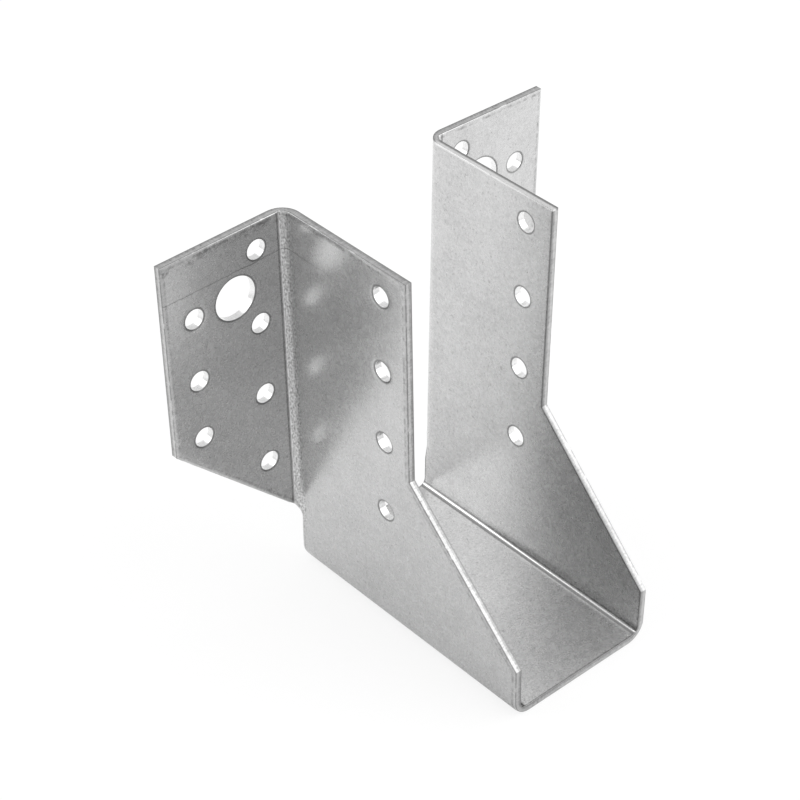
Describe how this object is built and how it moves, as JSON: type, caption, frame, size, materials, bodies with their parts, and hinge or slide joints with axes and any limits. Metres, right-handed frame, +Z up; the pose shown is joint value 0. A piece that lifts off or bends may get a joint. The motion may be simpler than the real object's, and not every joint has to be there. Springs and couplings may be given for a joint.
{
  "type": "joist hanger",
  "caption": "Folded galvanised steel hanger: an open U channel with a seat carries a joist end, and outward flanges are nailed or bolted to the timber behind.",
  "frame": {"origin": "bottom centre of the whole part: under the seat, on the plane it stands on, midway between the two flanges and midway between the seat's front edge and the backs of the flanges", "axes": "+X across the joist to the right plate, +Y towards the timber the flanges are nailed to, with the joist coming in from -Y, +Z up"},
  "size_m": [0.1136, 0.077, 0.1025],
  "materials": {
    "galvanised_sheet": "hot-dip galvanised sheet, satin grey with a fine mottle and rolling lines"
  },
  "bodies": {
    "root": {"joist_hanger": "galvanised_sheet"}
  },
  "joints": []
}
